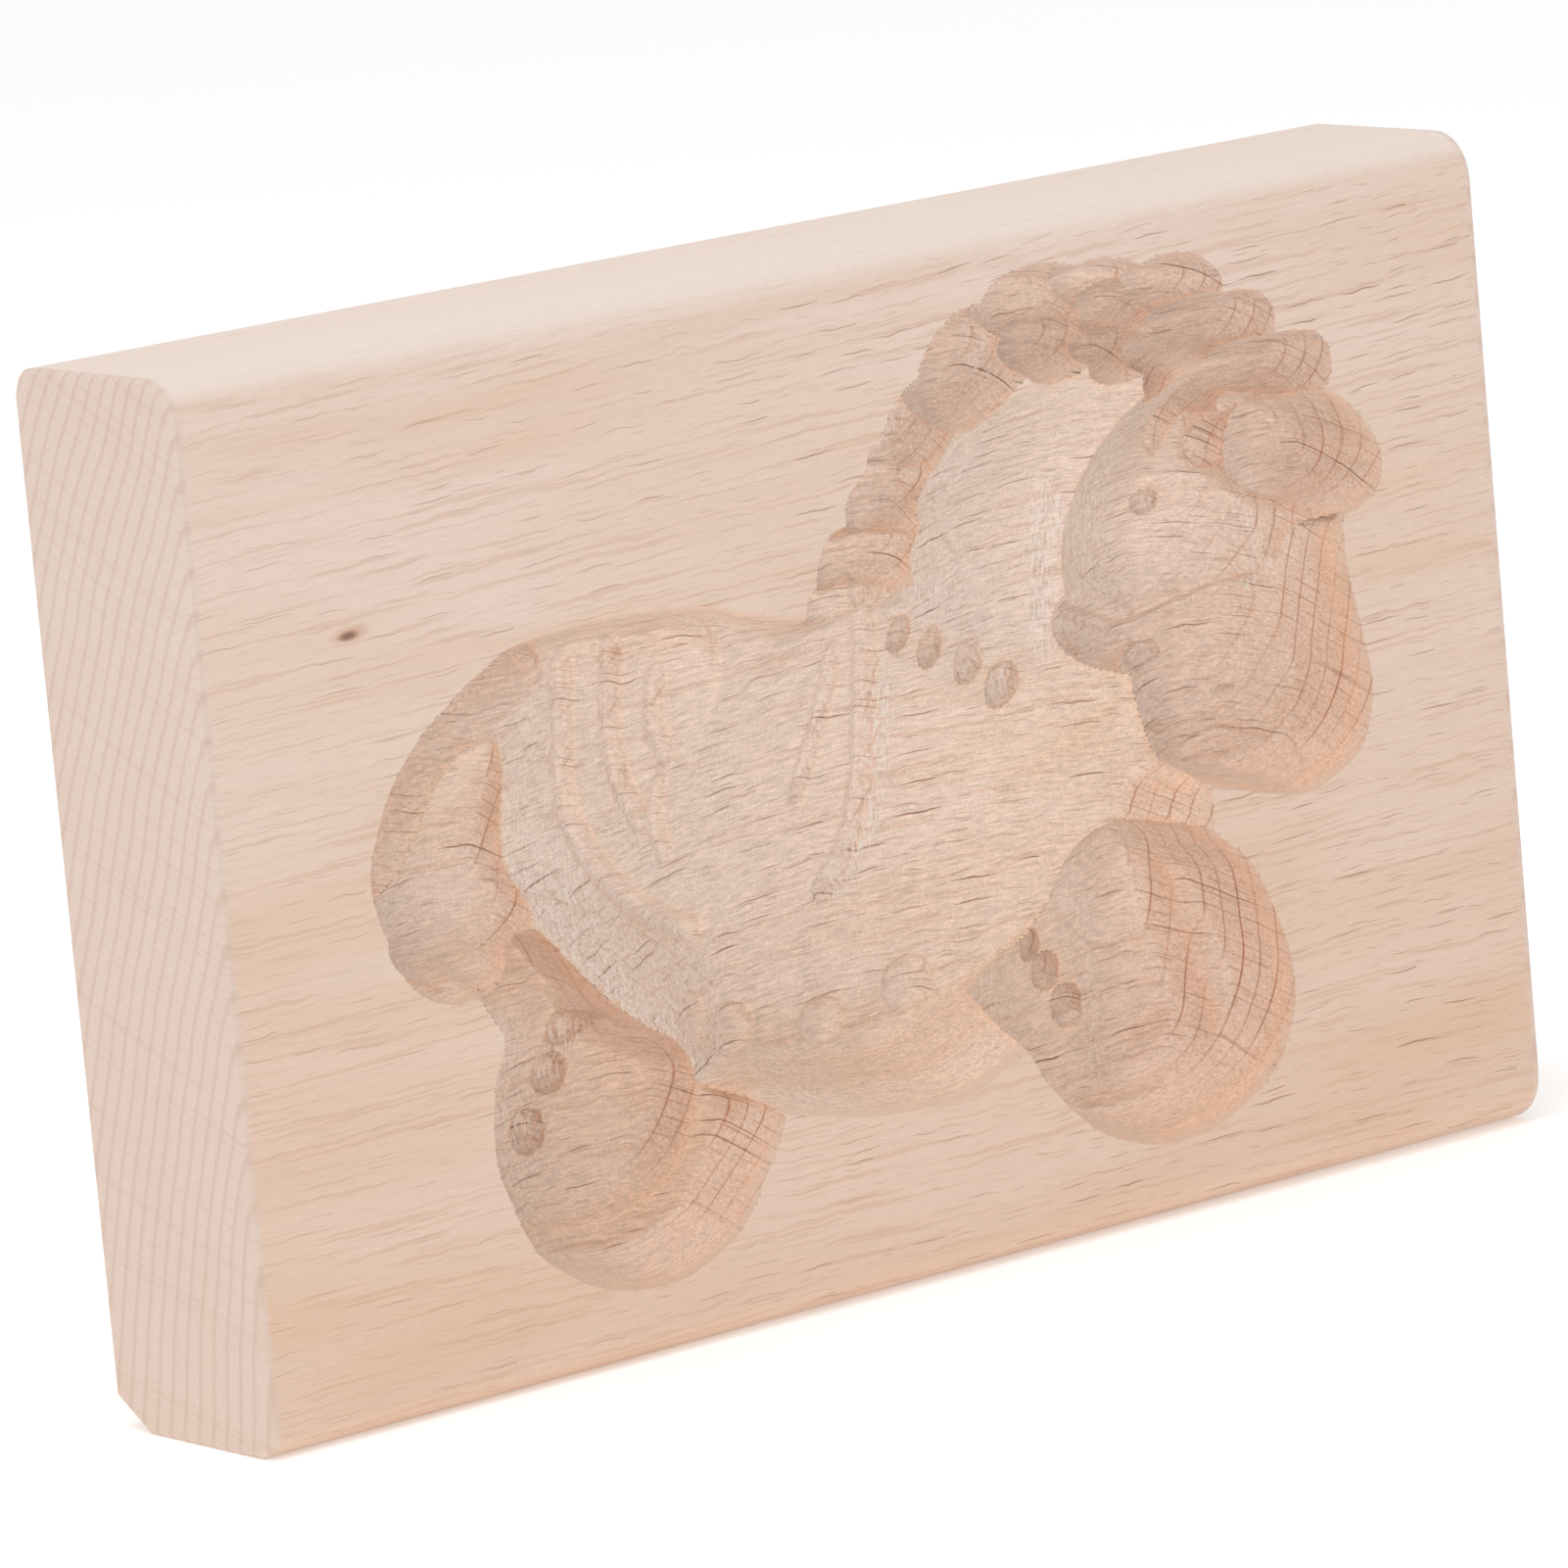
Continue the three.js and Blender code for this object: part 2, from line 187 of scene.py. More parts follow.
# Marks on the face: x, z, half length, half width and slant.
KNOT_MARKS = [(KNOT_RIM, (-58.5, 70.3, 2.6, 0.9, 0.05), 0.5),
              (KNOT, (-58.7, 70.2, 1.3, 0.5, 0.05), 0.8)]
TORN_MARK = (-44.5, 20.6, 2.8, 1.1, 0.1)


# %% The beech
def beech_material():
    material = bpy.data.materials.new("unoiled beech, planed")
    material.use_nodes = True
    tree = material.node_tree
    tree.nodes.clear()
    m = lambda operation, *values, **more: maths(tree, operation, *values, **more)
    along, ring, ray, cut, rightward, upward, behind, height = wood_directions(tree, m)
    carved, crest, torn, pit = (
        add(tree, "ShaderNodeAttribute", attribute_name=name).outputs["Fac"]
        for name in ("carved", "crest", "torn", "pit"))

    def product(*values):
        total = values[0]
        for value in values[1:]:
            total = m("MULTIPLY", total, value)
        return total

    def above(value, level, over):
        """0 up to a level, then rising to 1 over the given span."""
        return m("DIVIDE", m("SUBTRACT", value, level), over, clamp=True)

    def tint(colour, hex_colour, *shares):
        """The colour, moved towards another by the product of the shares."""
        return add(tree, "ShaderNodeMix", {
            "Factor": product(*shares), 6: colour, 7: to_linear(hex_colour)},
            data_type="RGBA").outputs[2]

    def noise(size, detail=2.0, rough=0.5, shift=0.0):
        """Noise from 0 to 1, with its grain's size in mm along, across the rings and round."""
        vector = add(tree, "ShaderNodeCombineXYZ", {
            0: m("MULTIPLY_ADD", along, 1 / size[0], shift), 1: m("DIVIDE", ring, size[1]),
            2: m("DIVIDE", ray, size[2])}).outputs[0]
        return add(tree, "ShaderNodeTexNoise", {
            "Vector": vector, "Scale": 1.0, "Detail": detail, "Roughness": rough,
        }).outputs[0]

    def plain_noise(size, detail):
        """Noise from 0 to 1 that keeps to the board's own axes, with its grain's size in mm."""
        vector = add(tree, "ShaderNodeCombineXYZ", {
            0: m("DIVIDE", along, size[0]), 1: m("DIVIDE", behind, size[1]),
            2: m("DIVIDE", height, size[2])}).outputs[0]
        return add(tree, "ShaderNodeTexNoise", {
            "Vector": vector, "Scale": 1.0, "Detail": detail}).outputs[0]

    # Rings and rays wander a little, slowly along the board and quickly from fibre to fibre.
    ring = m("ADD", ring, m("MULTIPLY", m("SUBTRACT", noise((90, 40, 22)), 0.5), 3.2))
    ray = m("ADD", ray, m("MULTIPLY", m("SUBTRACT", noise((40, 60, 12)), 0.5), 1.6))
    ray = m("ADD", ray, m("MULTIPLY", m("SUBTRACT", noise((2.6, 9, 3), 1.0), 0.5), 0.6))

    # Growth rings: each ends in a thin darker line, and years differ in strength.
    years = m("DIVIDE", ring, RING_SPACING)
    strength = add(tree, "ShaderNodeTexWhiteNoise", {"W": m("FLOOR", years)},
                   noise_dimensions="1D").outputs[0]
    from_line = m("ABSOLUTE", m("SUBTRACT", m("FRACT", years), 0.85))
    from_line = m("MULTIPLY", from_line, RING_SPACING)
    soft_line = m("SUBTRACT", 1, m("DIVIDE", from_line, SOFT_HALF_WIDTH), clamp=True)
    ring_line = m("SUBTRACT", 1, m("DIVIDE", from_line, LINE_HALF_WIDTH), clamp=True)
    ring_line = m("MULTIPLY", ring_line, m("MULTIPLY_ADD", strength, 0.6, 0.4))
    broken = above(noise((9, 4, 3)), 0.42, 0.3)
    from_ray = m("ABSOLUTE", m("SUBTRACT", m("FRACT", m("DIVIDE", ray, RAY_SPACING)), 0.5))
    ray_line = m("SUBTRACT", 1, m("DIVIDE", from_ray, 0.07), clamp=True)
    ray_line = m("MULTIPLY", ray_line, above(noise((5, 7, 1.6), 1.0, 0.5, 17.0), 0.42, 0.2))

    # Rays: ribbons a few millimetres long with pointed ends, which run far across the rings.
    def ray_marks(apart, half, empty, seed):
        flat = add(tree, "ShaderNodeCombineXYZ", {
            0: m("ADD", m("DIVIDE", along, apart[0]), seed), 1: m("DIVIDE", ray, apart[1]),
        }).outputs[0]
        cells = add(tree, "ShaderNodeTexVoronoi", {"Vector": flat, "Scale": 1.0},
                    voronoi_dimensions="2D")
        off = add(tree, "ShaderNodeVectorMath", {0: flat, 1: cells.outputs["Position"]},
                  operation="SUBTRACT").outputs[0]
        off = add(tree, "ShaderNodeSeparateXYZ", {0: off}).outputs
        chances = add(tree, "ShaderNodeSeparateColor", {0: cells.outputs["Color"]}).outputs
        size = m("MULTIPLY_ADD", chances[1], 0.7, 0.45)
        lengthwise = m("DIVIDE", m("MULTIPLY", off[0], apart[0] / half[0]), size)
        crosswise = m("ABSOLUTE", m("MULTIPLY", off[1], apart[1] / half[1]))
        crosswise = m("DIVIDE", crosswise, size)
        lens = m("SUBTRACT", m("SUBTRACT", 1, m("MULTIPLY", lengthwise, lengthwise)), crosswise)
        mark = m("MULTIPLY", lens, 2.2, clamp=True)
        return m("MULTIPLY", mark, above(chances[0], empty, 1 - empty))

    long_rays = m("MULTIPLY", ray_marks(**LONG_RAYS), cut)
    short_rays = m("MULTIPLY", ray_marks(**SHORT_RAYS), cut)
    fine_rays = above(noise((9, 60, 0.6), 1.0), 0.56, 0.12)

    # Lines show least on the sanded ends and at the board's smoothly planed left.
    end = above(m("ABSOLUTE", along), LENGTH / 2 - 1.2, 0.6)
    crisp = product(m("MULTIPLY_ADD", above(along, -70, 90), 0.35, 0.35), m("SUBTRACT", 1, end))
    crisp = m("MAXIMUM", crisp, carved)
    end_grain = m("POWER", m("ABSOLUTE", rightward), 2.0)
    fibre = noise((2.2, 0.3, 0.2), 3.0, 0.6)
    bands = noise((70, 3.2, 30), 2.0)
    cloudy = noise((50, 14, 12), 2.0, 0.5, 5.0)
    streaks = above(noise((18, 1.2, 0.4), 1.0, 0.5, 3.0), 0.55, 0.12)
    grit = plain_noise(GRIT_SIZE, 3.0)

    # The ground colour, warmer in bands and towards the lower edge. A painted sheen makes it
    # paler along the top edge.
    warmth = m("MULTIPLY_ADD", above(bands, 0.45, 0.3), 0.6,
               m("MULTIPLY", above(cloudy, 0.4, 0.4), 0.5))
    colour = add(tree, "ShaderNodeMix", {
        "Factor": warmth, 6: to_linear(LIGHT_WOOD), 7: to_linear(WARM_WOOD)},
        data_type="RGBA").outputs[2]
    colour = tint(colour, LOW_WOOD, above(m("MULTIPLY", height, -1), -70, 70), 0.3)
    # Painted sheen: the planed top face is made paler.
    colour = tint(colour, TOP_SHEEN, m("SUBTRACT", 1, cut), above(height, HEIGHT - 4, 3),
                  m("SUBTRACT", 1, carved))
    # Deep and narrow hollows look pale on the object. A share of pale colour, fitted to the
    # photograph, stands for the light that scatters in them.
    deep = above(behind, DEEP_FROM, DEEP_OVER)
    glow = m("MULTIPLY_ADD", m("MULTIPLY", crest, -1, clamp=True), 0.22,
             product(deep, carved, 0.3))
    colour = tint(colour, LIT_WOOD, glow)
    # Painted light: carved surfaces that face right are made paler.
    colour = tint(colour, RIGHT_FACING_LIGHT, above(rightward, -0.04, 0.4), carved, 0.3)
    # The lines of the wood.
    colour = tint(colour, STREAK, streaks, cut, 0.3)
    colour = tint(colour, SANDED_END, end, 0.7)
    colour = tint(colour, SOFT_LINE, soft_line, end, 0.26)
    colour = tint(colour, SOFT_LINE, fine_rays, end, 0.1)
    colour = tint(colour, RING_LINE, ring_line, crisp,
                  m("MULTIPLY_ADD", end_grain, 1.0, m("MULTIPLY", broken, 0.2)))
    colour = tint(colour, RAY_LINE, ray_line, crisp, end_grain, 0.9)
    colour = tint(colour, LONG_RAY, long_rays, crisp, 0.85)
    colour = tint(colour, SHORT_RAY, short_rays, crisp, 0.55)
    # The gouge leaves thin crests, tinted warm partly by their pressed fibres and partly by
    # painted light shining through the thin edge. The bored pits get a little painted shade.
    colour = tint(colour, CREST_TONE_AND_GLOW, crest, 0.4)
    # Painted shade darkens the bored pits.
    colour = tint(colour, PIT_SHADE, pit, 0.18)

    # A pin knot near the upper left of the face, and grain torn by the plane lower down.
    def spot(x, z, half_length, half_width, slant):
        dx = m("SUBTRACT", along, x)
        dz = m("SUBTRACT", m("SUBTRACT", height, z), m("MULTIPLY", dx, slant))
        dx, dz = m("DIVIDE", dx, half_length), m("DIVIDE", dz, half_width)
        gap = m("SQRT", m("MULTIPLY_ADD", dx, dx, m("MULTIPLY", dz, dz)))
        near = m("DIVIDE", m("SUBTRACT", 1, gap), 0.6, clamp=True)
        return m("MULTIPLY", near, m("SUBTRACT", 1, above(behind, 0.2, 0.2)))

    for hex_colour, where, share in KNOT_MARKS:
        colour = tint(colour, hex_colour, spot(*where), share)
    colour = tint(colour, TORN_PATCH, spot(*TORN_MARK), above(fibre, 0.45, 0.15), 0.6)

    # Fibres and grit break up the colour, far more in the hollows than on the planed face.
    mottle = m("MULTIPLY_ADD", fibre, 0.65, m("MULTIPLY", grit, 0.35))
    roughened = m("MULTIPLY_ADD", carved, 1.04, 0.224)
    level = m("MULTIPLY_ADD", m("SUBTRACT", mottle, 0.5), roughened, 1.0)
    # Fitted to the photograph: lying walls a little paler, and slopes to the right and hanging
    # walls a little darker, than the light alone makes them.
    hanging = above(m("MULTIPLY", upward, -1), 0.25, 0.5)
    lying = above(upward, 0.4, 0.4)
    paler = m("MULTIPLY_ADD", hanging, -0.17, m("MULTIPLY_ADD", lying, 0.05, 0.055))
    paler = m("MULTIPLY_ADD", above(rightward, -0.1, 0.25), -0.11, paler)
    level = m("MULTIPLY", level, m("MULTIPLY_ADD", carved, paler, 1))
    colour = add(tree, "ShaderNodeVectorMath", {0: colour, "Scale": level},
                 operation="SCALE").outputs[0]

    # Where the gouge came up against the grain, torn fibres stand up. A painted highlight lies
    # on the tufts and a painted shadow between them.
    upright = plain_noise(TUFT_SIZE, 2.0)
    patchy = above(noise((14, 9, 9), 2.0, 0.5, 9.0), 0.38, 0.2)
    torn = m("MULTIPLY", torn, m("MULTIPLY_ADD", patchy, 0.7, 0.3))
    tufts = m("MULTIPLY", torn, above(upright, 0.5, 0.12))
    colour = tint(colour, TUFT_HIGHLIGHT, tufts, 0.72)
    colour = tint(colour, TUFT_SHADOW, torn, above(m("SUBTRACT", 1, upright), 0.56, 0.1), 0.32)

    bump = add(tree, "ShaderNodeBump", {
        "Height": m("ADD", fibre, tufts), "Strength": 0.35, "Distance": 0.00015})
    shader = add(tree, "ShaderNodeBsdfPrincipled", {
        "Base Color": colour, "Roughness": 0.62, "IOR": 1.45, "Specular IOR Level": 0.35,
        "Normal": bump.outputs[0]})
    add(tree, "ShaderNodeOutputMaterial", {0: shader.outputs[0]})
    return material


beech = beech_material()
print(len(beech.node_tree.nodes), "nodes in the beech")

# %% [markdown]
# The hollows of the horse.
#
# A carver works with a few gouges, and each sweep leaves a bowl: steep walls and a rounded floor.
# Where two bowls meet, a crisp ridge stays. So the figure is drawn as bowls, each with an outline
# on the face, steep walls and the place where its floor is lowest. The deeper bowl wins.

# %% Outlines of the hollows, in millimetres from the board's middle and its lower edge
# centre: where the outline is seen from; it has to be able to see all of it.
# wall: the wall's angle from the face, in degrees. lip: how deep the outline itself lies.
# low, deep: the lowest place and its depth. bend: how quickly the floor rises along x and z.
# ramp: depth at a line, how steeply the floor falls away from it, and the line.
# fillet: how softly wall and floor meet.
BOWLS = {
    "barrel": dict(
        centre=(-4, 44), wall=67, low=(3, 32), deep=12.2, bend=(0.0034, 0.0075), outline=[
            (-44.3, 64.8), (-34.7, 66.9), (-25.6, 66.7), (-16.5, 65), (-7.9, 63.2), (4, 64),
            (16, 62), (26, 60), (36, 56), (41, 49), (40.5, 42), (37.4, 39.3), (37.1, 37.6),
            (36.7, 35.2), (31, 29), (22, 23), (12.5, 19.2), (5, 16.5), (-5.6, 16.8),
            (-15.9, 18.9), (-24, 19.5), (-31.5, 23.8), (-35.8, 29.5), (-40.4, 34.8), (-45, 40.4),
            (-48, 46), (-46, 56)],
        ramp=(3, 0.55, [(-41.5, 42), (-37, 37), (-32, 31.5), (-29, 26), (-28, 18)])),
    "rump": dict(
        centre=(-29, 54), wall=67, low=(-24, 54), deep=6.4, bend=(0.006, 0.004), outline=[
            (-46, 56), (-44.3, 64.8), (-34.7, 66.9), (-25.6, 66.7), (-16.5, 65), (-12, 58),
            (-15, 48), (-25, 41), (-38, 41), (-45, 47)]),
    "tail outer strand": dict(
        centre=(-48, 50), wall=84, low=(-48, 50), deep=9, bend=(0, 0), outline=[
            (-49.7, 36.1), (-51.1, 36.1), (-55, 38), (-57.5, 42.7), (-58.8, 47.3),
            (-58.4, 50.5), (-56.1, 55.5), (-52.9, 59.3), (-48.8, 62.3), (-44.3, 64.8),
            (-37.6, 66.2), (-33.8, 63.4), (-35, 61.3), (-38, 58.8), (-39.6, 57), (-41, 52),
            (-42, 46), (-44, 39)],
        ramp=(8.2, -0.5, [(-57.5, 42.7), (-58.8, 47.3), (-58.4, 50.5), (-56.1, 55.5),
                           (-52.9, 59.3), (-48.8, 62.3), (-44.3, 64.8), (-37.6, 66.2)])),
    "tail inner strand": dict(
        centre=(-47, 46), wall=72, low=(-47.5, 45), deep=8.2, bend=(0.02, 0.012), outline=[
            (-57.6, 42.6), (-56, 39.2), (-53.6, 37), (-51.1, 36.1), (-48.6, 36), (-45.6, 35.6),
            (-43, 35.9), (-40.6, 37.4), (-38.5, 40.2), (-38.2, 42.6), (-39.4, 46.6),
            (-39.8, 51), (-39.2, 55.6), (-39.8, 58.6), (-41.6, 59), (-45, 57.9), (-48.6, 55),
            (-50.8, 52), (-53.5, 48.4)]),
    "hind leg": dict(
        centre=(-33, 21), wall=77, low=(-36, 24), deep=9, bend=(0.006, 0.004), outline=[
            (-48.2, 36.3), (-46.1, 31.9), (-47.5, 28.2), (-48.2, 22), (-47, 17.3),
            (-44.9, 12.7), (-42, 10), (-38.5, 7.9), (-34.7, 6.9), (-31.2, 6.5), (-28.2, 6.8),
            (-25.1, 7.9), (-22, 9.6), (-19.9, 12.1), (-15.8, 18.8), (-17.6, 21.6),
            (-22.4, 26.4), (-25.8, 28.6), (-29.4, 31.2), (-33.4, 34.6), (-35.8, 37.2),
            (-39.6, 40.9), (-41.6, 40.2), (-43.2, 38), (-45.4, 36.6)]),
    "hind leg inside": dict(
        centre=(-31, 21), lip=7.6, wall=66, low=(-30, 20.6), deep=12.1, bend=(0.014, 0.016),
        outline=[
            (-20.2, 23.9), (-20, 20.7), (-21.2, 17.3), (-23.6, 14.1), (-27.8, 11.9),
            (-33.4, 11.2), (-40, 12.4), (-44, 17), (-44.6, 24), (-42, 31), (-37, 35),
            (-32, 31.6), (-27.6, 28.6), (-23, 26.4)]),
    "fore leg": dict(
        centre=(28, 21), wall=79, low=(26, 22), deep=11.6, bend=(0.013, 0.012), outline=[
            (12.3, 25.4), (11.8, 23.2), (12, 20.8), (12.8, 18.9), (15.8, 14.4), (20.8, 9.8),
            (26.9, 7.5), (30.8, 7.3), (34.6, 7.8), (38.5, 9.4), (41.5, 11.3), (43.8, 14),
            (45, 17.1), (45.2, 20.2), (44.6, 23.6), (43.1, 27.5), (41.2, 31.3), (38.8, 33.6),
            (36.7, 35.2), (34.6, 37.2), (32, 38.8), (29.8, 38.2), (27.8, 35.6),
            (25.8, 33.3), (23.4, 31.1), (18.9, 27.9)]),
    "fore leg inside": dict(
        centre=(33, 23), lip=8.2, wall=66, low=(35, 24), deep=12.8, bend=(0.026, 0.008),
        outline=[
            (37.2, 32.9), (39.6, 27.3), (41.1, 21.4), (41.5, 15.7), (39.8, 12.2), (35.6, 10.2),
            (29.6, 10.4), (24.6, 14), (22, 21), (22.4, 28), (26.4, 34), (31.6, 36.4),
            (35, 35.4)]),
    "neck": dict(
        centre=(17, 62), wall=72, low=(22.5, 57), deep=9.3, bend=(0.013, 0.0165), outline=[
            (1.6, 58), (3.4, 62), (5.4, 67.6), (7.2, 72.4), (10.8, 77), (14.6, 80),
            (19.5, 81.6), (25.7, 81.6), (31, 80.6), (36, 79), (40, 72), (40, 62), (41, 52),
            (40.5, 43), (34, 40), (24, 43), (12, 46), (4, 50), (1, 54)]),
    "cheek": dict(
        centre=(40, 64), wall=76, low=(41.5, 60), deep=14.6, bend=(0.035, 0.042), outline=[
            (33, 80), (27, 75), (24, 66), (22, 58), (26, 52), (34, 50), (41, 51),
            (48, 52), (55.3, 53.5), (55.6, 58), (55.2, 62), (52, 66),
            (48, 70), (44, 75), (40, 80)], fillet=0.4),
    "jaw": dict(
        centre=(40, 53), wall=70, low=(41, 52), deep=13.8, bend=(0.02, 0.025), outline=[
            (23.6, 57), (24.6, 53.4), (27.4, 50.8), (30.6, 49.2), (34, 48), (44, 46), (50, 49),
            (52, 53), (50, 57), (42, 59), (33, 60.5), (27, 60)]),
    "muzzle": dict(
        centre=(46, 48), wall=82, low=(45, 47.5), deep=14.4, bend=(0.04, 0.03), outline=[
            (55.6, 62), (55.2, 60.6), (55.5, 57.5), (56.4, 53.4), (57, 50.2), (57.7, 46.5),
            (57.3, 42.9), (56.1, 40.2), (54.3, 38.6), (49.5, 36.8), (45, 37.2), (40.5, 38.4),
            (37.3, 39.3), (35.3, 42.6), (34, 46.4), (33.4, 50), (35, 54), (40, 57),
            (44, 57.5), (50, 59)]),
    "forelock tip": dict(
        centre=(54, 68), wall=76, low=(53, 68), deep=9.4, bend=(0.025, 0.03), outline=[
            (56.1, 61.8), (58.5, 62.5), (60.5, 64), (61, 66.5), (60, 69), (58, 71.5),
            (55.6, 73.5), (52, 74.4), (49, 73.8), (47, 71.6), (46.4, 68.6), (47.2, 64.8),
            (51, 61.6)]),
    "mane lock 6": dict(
        centre=(2.6, 72), wall=72, low=(3, 72), deep=6, bend=(0.04, 0.04), outline=[
            (1, 77), (-0.5, 74.8), (-2.5, 73), (-3, 70.5), (-1.5, 68.5), (3, 67.2),
            (7.6, 69.8), (9.4, 73), (7, 75.8)]),
    "mane lock 7": dict(
        centre=(-0.6, 67), wall=72, low=(-1, 67), deep=5.6, bend=(0.05, 0.05), outline=[
            (-3, 70.5), (-5.8, 69), (-7, 65.5), (-5.5, 63.6), (-1, 63), (3.8, 64), (6.4, 66.4),
            (5.4, 69.2)]),
    "mane lock 8": dict(
        centre=(-2.8, 62.8), wall=72, low=(-3, 62.8), deep=5.2, bend=(0.05, 0.05), outline=[
            (-7, 65.5), (-8.2, 63.2), (-6, 60.5), (-2, 59.4), (2, 60.6), (3.2, 63.6), (0, 65.6)]),
}
# Pairs that the carver ran into each other, so that no crisp ridge stays between them, and how
# softly, in millimetres.
MERGED = [("barrel", "rump", 2.0), ("barrel", "neck", 2.0), ("hind leg", "hind leg inside", 0.7),
          ("fore leg", "fore leg inside", 0.9)]
# Short scoops: x, z, half length, half width, turn in degrees, depth.
SCOOPS = {
    "mane lock 1": (38.2, 86.1, 5.2, 3, -12, 5.6),
    "mane lock 2 behind": (29, 87.5, 5.6, 2.4, -2, 4.8),
    "mane lock 2": (32.4, 84.8, 5.2, 2.8, 8, 6.6),
    "mane lock 2 below": (30.8, 81, 4.1, 3, 0, 7),
    "mane lock 3": (21.6, 87, 7, 3.6, -3, 5.8),
    "mane lock 3 below": (23.2, 82.7, 4.8, 3.4, 0, 6.6),
    "mane lock 4": (13.2, 82.2, 6.8, 5.5, 25, 6.6),
    "mane lock 5": (6.3, 77.4, 6, 3.9, 52, 5.8),
}
# Curved locks: each is a row of (x, z, half width, depth) that the gouge follows.
TROUGHS = {
    "forelock curl": [(49.4, 72.4, 1.9, 8.4), (47, 71.8, 2.8, 10.2), (46.4, 69.4, 2.6, 11.2),
                      (47.4, 67.6, 1.6, 11.4)],
    "forelock middle": [(52.5, 76.4, 3.3, 7.2), (49.8, 76.6, 3.2, 7.6), (46, 76.4, 3, 8.2),
                        (42.6, 75, 2.9, 9.2), (41.4, 72.6, 2.7, 10.4), (41.8, 70.6, 2.2, 11.2),
                        (42.8, 69, 1.3, 11.6)],
    "forelock upper": [(46, 81.2, 3.3, 6.8), (41.6, 81.5, 3.2, 7), (37.6, 80.8, 3.2, 7),
                       (35.8, 78.6, 2.5, 7.2), (36.2, 76.9, 1.8, 7.4)],
}
print(len(BOWLS) + len(SCOOPS) + len(TROUGHS), "hollows")


# %% A closed smooth line through drawn points
def smooth_line(points, steps=8, closed=True):
    """Points along a Catmull-Rom line through the drawn ones."""
    drawn = np.array(points, float)
    count = len(drawn)
    spans = count if closed else count - 1
    line = []
    for i in range(spans):
        if closed:
            a, b, c, d = (drawn[(i + k) % count] for k in (-1, 0, 1, 2))
        else:
            a, b, c, d = (drawn[min(max(i + k, 0), count - 1)] for k in (-1, 0, 1, 2))
        for t in np.linspace(0, 1, steps, endpoint=False):
            line.append(0.5 * (2 * b + (c - a) * t + (2 * a - 5 * b + 4 * c - d) * t * t
                               + (3 * b - a - 3 * c + d) * t ** 3))
    if not closed:
        line.append(drawn[-1])
    return np.array(line)


# %% The depth that one bowl cuts
FOOT_FILLET = 1.0
LIP_FALL = 6.0


def lower_of(a, b, blend):
    """The smaller of two depths, with a soft change-over."""
    share = np.clip(0.5 + 0.5 * (b - a) / blend, 0, 1)
    return b * (1 - share) + a * share - blend * share * (1 - share)


def distance_to(line, x, z):
    """Distance from face points to an open line."""
    nearest = np.full(x.shape, 1e9)
    for (ax, az), (bx, bz) in zip(line[:-1], line[1:]):
        along = np.clip(((x - ax) * (bx - ax) + (z - az) * (bz - az))
                        / ((bx - ax) ** 2 + (bz - az) ** 2), 0, 1)
        gap = np.hypot(x - ax - along * (bx - ax), z - az - along * (bz - az))
        nearest = np.minimum(nearest, gap)
    return nearest


def bowl_depth(bowl, x, z):
    """Depth of one bowl at face points. It is negative outside the outline."""
    line = smooth_line(bowl["outline"])
    cx, cz = bowl["centre"]
    bearing = np.arctan2(line[:, 1] - cz, line[:, 0] - cx)
    reach = np.hypot(line[:, 0] - cx, line[:, 1] - cz)
    order = np.argsort(bearing)
    bearing, reach = bearing[order], reach[order]
    round_bearing = np.concatenate([bearing - 2 * np.pi, bearing, bearing + 2 * np.pi])
    away = np.hypot(x - cx, z - cz)
    edge = np.interp(np.arctan2(z - cz, x - cx), round_bearing, np.tile(reach, 3))
    (low_x, low_z), (bend_x, bend_z) = bowl["low"], bowl["bend"]
    floor = bowl["deep"] - bend_x * (x - low_x) ** 2 - bend_z * (z - low_z) ** 2
    if "ramp" in bowl:
        start, fall, line = bowl["ramp"]
        floor = lower_of(floor, start + fall * distance_to(line, x, z), FOOT_FILLET)
    inset = edge - away
    wall = bowl.get("lip", 0) + inset * np.where(
        inset > 0, math.tan(math.radians(bowl["wall"])), LIP_FALL)
    return lower_of(wall, floor, 2 * bowl.get("fillet", FOOT_FILLET))


def scoop_depth(scoop, x, z):
    """Depth of a short scoop: a long hollow with steep sides and a rounded floor."""
    cx, cz, half_length, half_width, turn_by, deep = scoop
    c, s = math.cos(math.radians(turn_by)), math.sin(math.radians(turn_by))
    along = ((x - cx) * c + (z - cz) * s) / half_length
    across = ((z - cz) * c - (x - cx) * s) / half_width
    share = (along ** 2 + across ** 2) ** 1.5
    return deep * np.where(share < 1, np.sqrt(np.clip(1 - share, 0, 1)), 1 - share)


def trough_depth(path, x, z):
    """Depth of one curved lock: a gouge with a rounded end, led along the path."""
    best = np.full(x.shape, -1.0)
    for px, pz, half_width, deep in smooth_line(path, steps=10, closed=False):
        share = ((x - px) ** 2 + (z - pz) ** 2) / half_width ** 2
        inner = deep * np.sqrt(np.clip(1 - share, 0, 1))
        best = np.maximum(best, np.where(share < 1, inner, deep * (1 - share)))
    return best


def layers(x, z):
    """Depths of the flat face, which is the layer of no depth, and of every hollow and pit."""
    bowls = {name: bowl_depth(bowl, x, z) for name, bowl in BOWLS.items()}
    for outer, inner, blend in MERGED:
        bowls[outer] = -lower_of(-bowls[outer], -bowls.pop(inner), blend)
    scoops = [scoop_depth(scoop, x, z) for scoop in SCOOPS.values()]
    troughs = [trough_depth(path, x, z) for path in TROUGHS.values()]
    pits = []
    for *place, rim, deep in PITS:
        below = scoop_depth((*place, deep), x, z)
        pits.append(rim + np.where(below > 0, below, LIP_FALL * below))
    return np.array([np.zeros_like(x), *bowls.values(), *scoops, *troughs, *pits])


# %% [markdown]
# The finer cuts.
#
# Round pits stand for spots on the legs and for a row of beads along the collar. They are bored
# with a small bent gouge. Strap, girth, rump and scalloped fringe are shallow grooves and dents,
# made with a veiner and a flat gouge.

